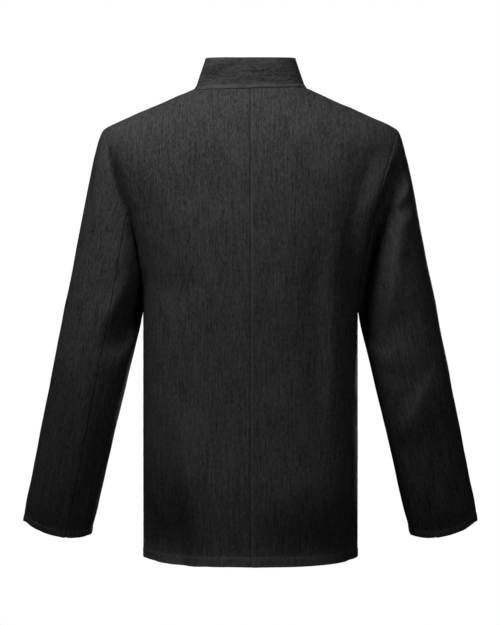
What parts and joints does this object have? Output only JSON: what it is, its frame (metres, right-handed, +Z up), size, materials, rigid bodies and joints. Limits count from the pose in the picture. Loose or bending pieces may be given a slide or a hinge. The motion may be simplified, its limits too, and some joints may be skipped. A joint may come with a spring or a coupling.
{
  "type": "chef jacket",
  "caption": "Long-sleeved double-breasted chef jacket in dark denim with a stand collar, hollow and filled out as if worn.",
  "frame": {"origin": "middle of the neck opening, level with the points where the shoulder seams meet the collar, where the wearer's shoulders and neck hold the jacket up", "axes": "+Z up along the wearer, the jacket's longest extent; -Y out of the front; +X towards the wearer's left"},
  "size_m": [0.741, 0.2803, 0.7944],
  "materials": {
    "denim": "matte washed black denim with a fine upright slub",
    "button": "satin moulded plastic"
  },
  "bodies": {
    "root": {"back_left": "denim", "back_right": "denim", "front_left": "denim", "front_right": "denim", "sleeve_top_left": "denim", "sleeve_top_right": "denim", "sleeve_under_left": "denim", "sleeve_under_right": "denim", "collar": "denim", "button_left_1": "button", "button_left_2": "button", "button_left_3": "button", "button_left_4": "button", "button_left_5": "button", "button_right_1": "button", "button_right_2": "button", "button_right_3": "button", "button_right_4": "button", "button_right_5": "button"}
  },
  "joints": []
}
